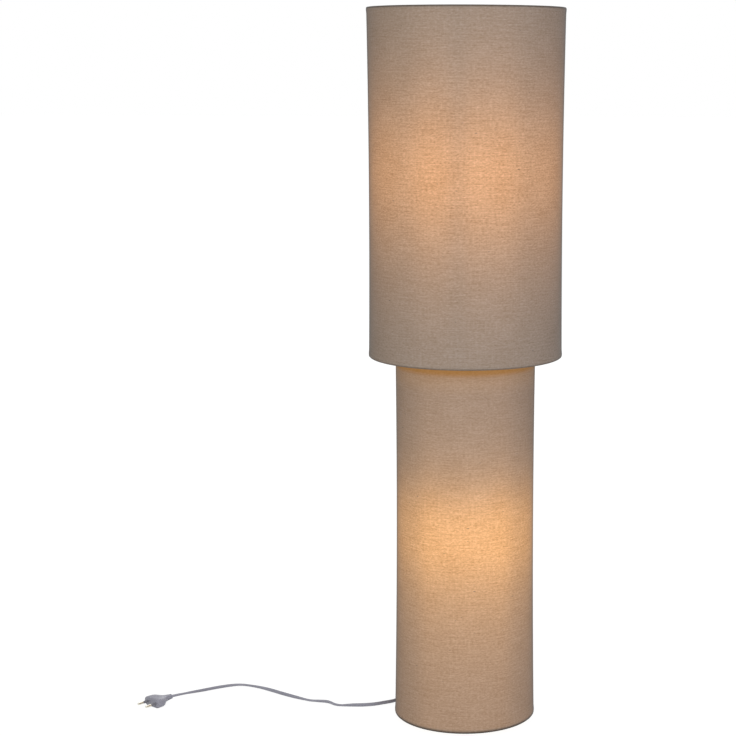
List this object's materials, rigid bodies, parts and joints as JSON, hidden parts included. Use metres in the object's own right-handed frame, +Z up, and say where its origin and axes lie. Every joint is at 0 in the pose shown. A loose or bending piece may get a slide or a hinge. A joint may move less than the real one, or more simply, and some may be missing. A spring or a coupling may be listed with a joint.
{
  "type": "column floor lamp",
  "caption": "Floor lamp made of a wide cloth drum over a narrower cloth column that stands on the floor, lit from inside, with a foot switch on its cord.",
  "frame": {"origin": "on the floor, at the middle of the base plate", "axes": "+Z up along the pole, the front faces -Y, +X is on the viewer's right; the cord leaves at the back, +Y"},
  "size_m": [0.6374, 0.4507, 1.045],
  "materials": {
    "linen": "slubby woven linen, laminated, warm beige",
    "white_wire": "white epoxy coat",
    "pole_steel": "nickel plated, satin",
    "black_steel": "black powder coat",
    "felt": "black foam pad",
    "zinc": "zinc plated",
    "brass": "plain",
    "black_plastic": "black, satin",
    "porcelain": "glazed white",
    "bulb_cap": "rolled thread, satin",
    "bulb_white": "white, smooth",
    "bulb_dome": "opal, lit",
    "lead_white": "white sheath",
    "cord_grey": "soft grey vinyl",
    "switch_grey": "satin grey",
    "button_grey": "satin grey",
    "pin_metal": "nickel plated"
  },
  "bodies": {
    "lamp": {"base_pad": "felt", "base_plate": "black_steel", "base_washer": "zinc", "base_nut": "zinc", "lower_pole": "pole_steel", "pole_stud": "brass", "upper_pole": "pole_steel", "cap_nut": "pole_steel", "column_bottom_frame": "white_wire", "column_top_frame": "white_wire", "column_cloth": "linen", "drum_top_frame": "white_wire", "drum_bottom_ring": "white_wire", "drum_cloth": "linen", "lower_bracket": "zinc", "lower_nipple": "brass", "lower_holder_cap": "black_plastic", "lower_holder_insert": "porcelain", "lower_holder_thread": "brass", "lower_holder_shell": "black_plastic", "lower_bulb_cap": "bulb_cap", "lower_bulb_body": "bulb_white", "lower_bulb_dome": "bulb_dome", "lower_lead": "lead_white", "upper_bracket": "zinc", "upper_nipple": "brass", "upper_holder_cap": "black_plastic", "upper_holder_insert": "porcelain", "upper_holder_thread": "brass", "upper_holder_shell": "black_plastic", "upper_bulb_cap": "bulb_cap", "upper_bulb_body": "bulb_white", "upper_bulb_dome": "bulb_dome", "upper_lead": "lead_white", "bracket_screws": "zinc", "inner_cord": "cord_grey", "wire_splice": "black_plastic", "cord_gland": "cord_grey", "cord_lamp_end": "cord_grey", "switch_base": "switch_grey", "switch_cover": "switch_grey", "switch_spring": "zinc", "switch_contacts": "black_plastic", "switch_screws": "zinc", "cord_switch_end": "cord_grey", "cord_coil": "cord_grey", "cord_tie": "black_plastic", "cord_plug_end": "cord_grey", "plug_body": "cord_grey", "plug_pins": "pin_metal"},
    "button": {"switch_button": "button_grey"}
  },
  "joints": [
    {"name": "button_press", "type": "slide", "parent": "lamp", "child": "button", "axis": [0, 0, -1], "range_m": [0, 0.0035], "stiffness_N_per_m": 900, "deforming": ["switch_spring"]}
  ]
}
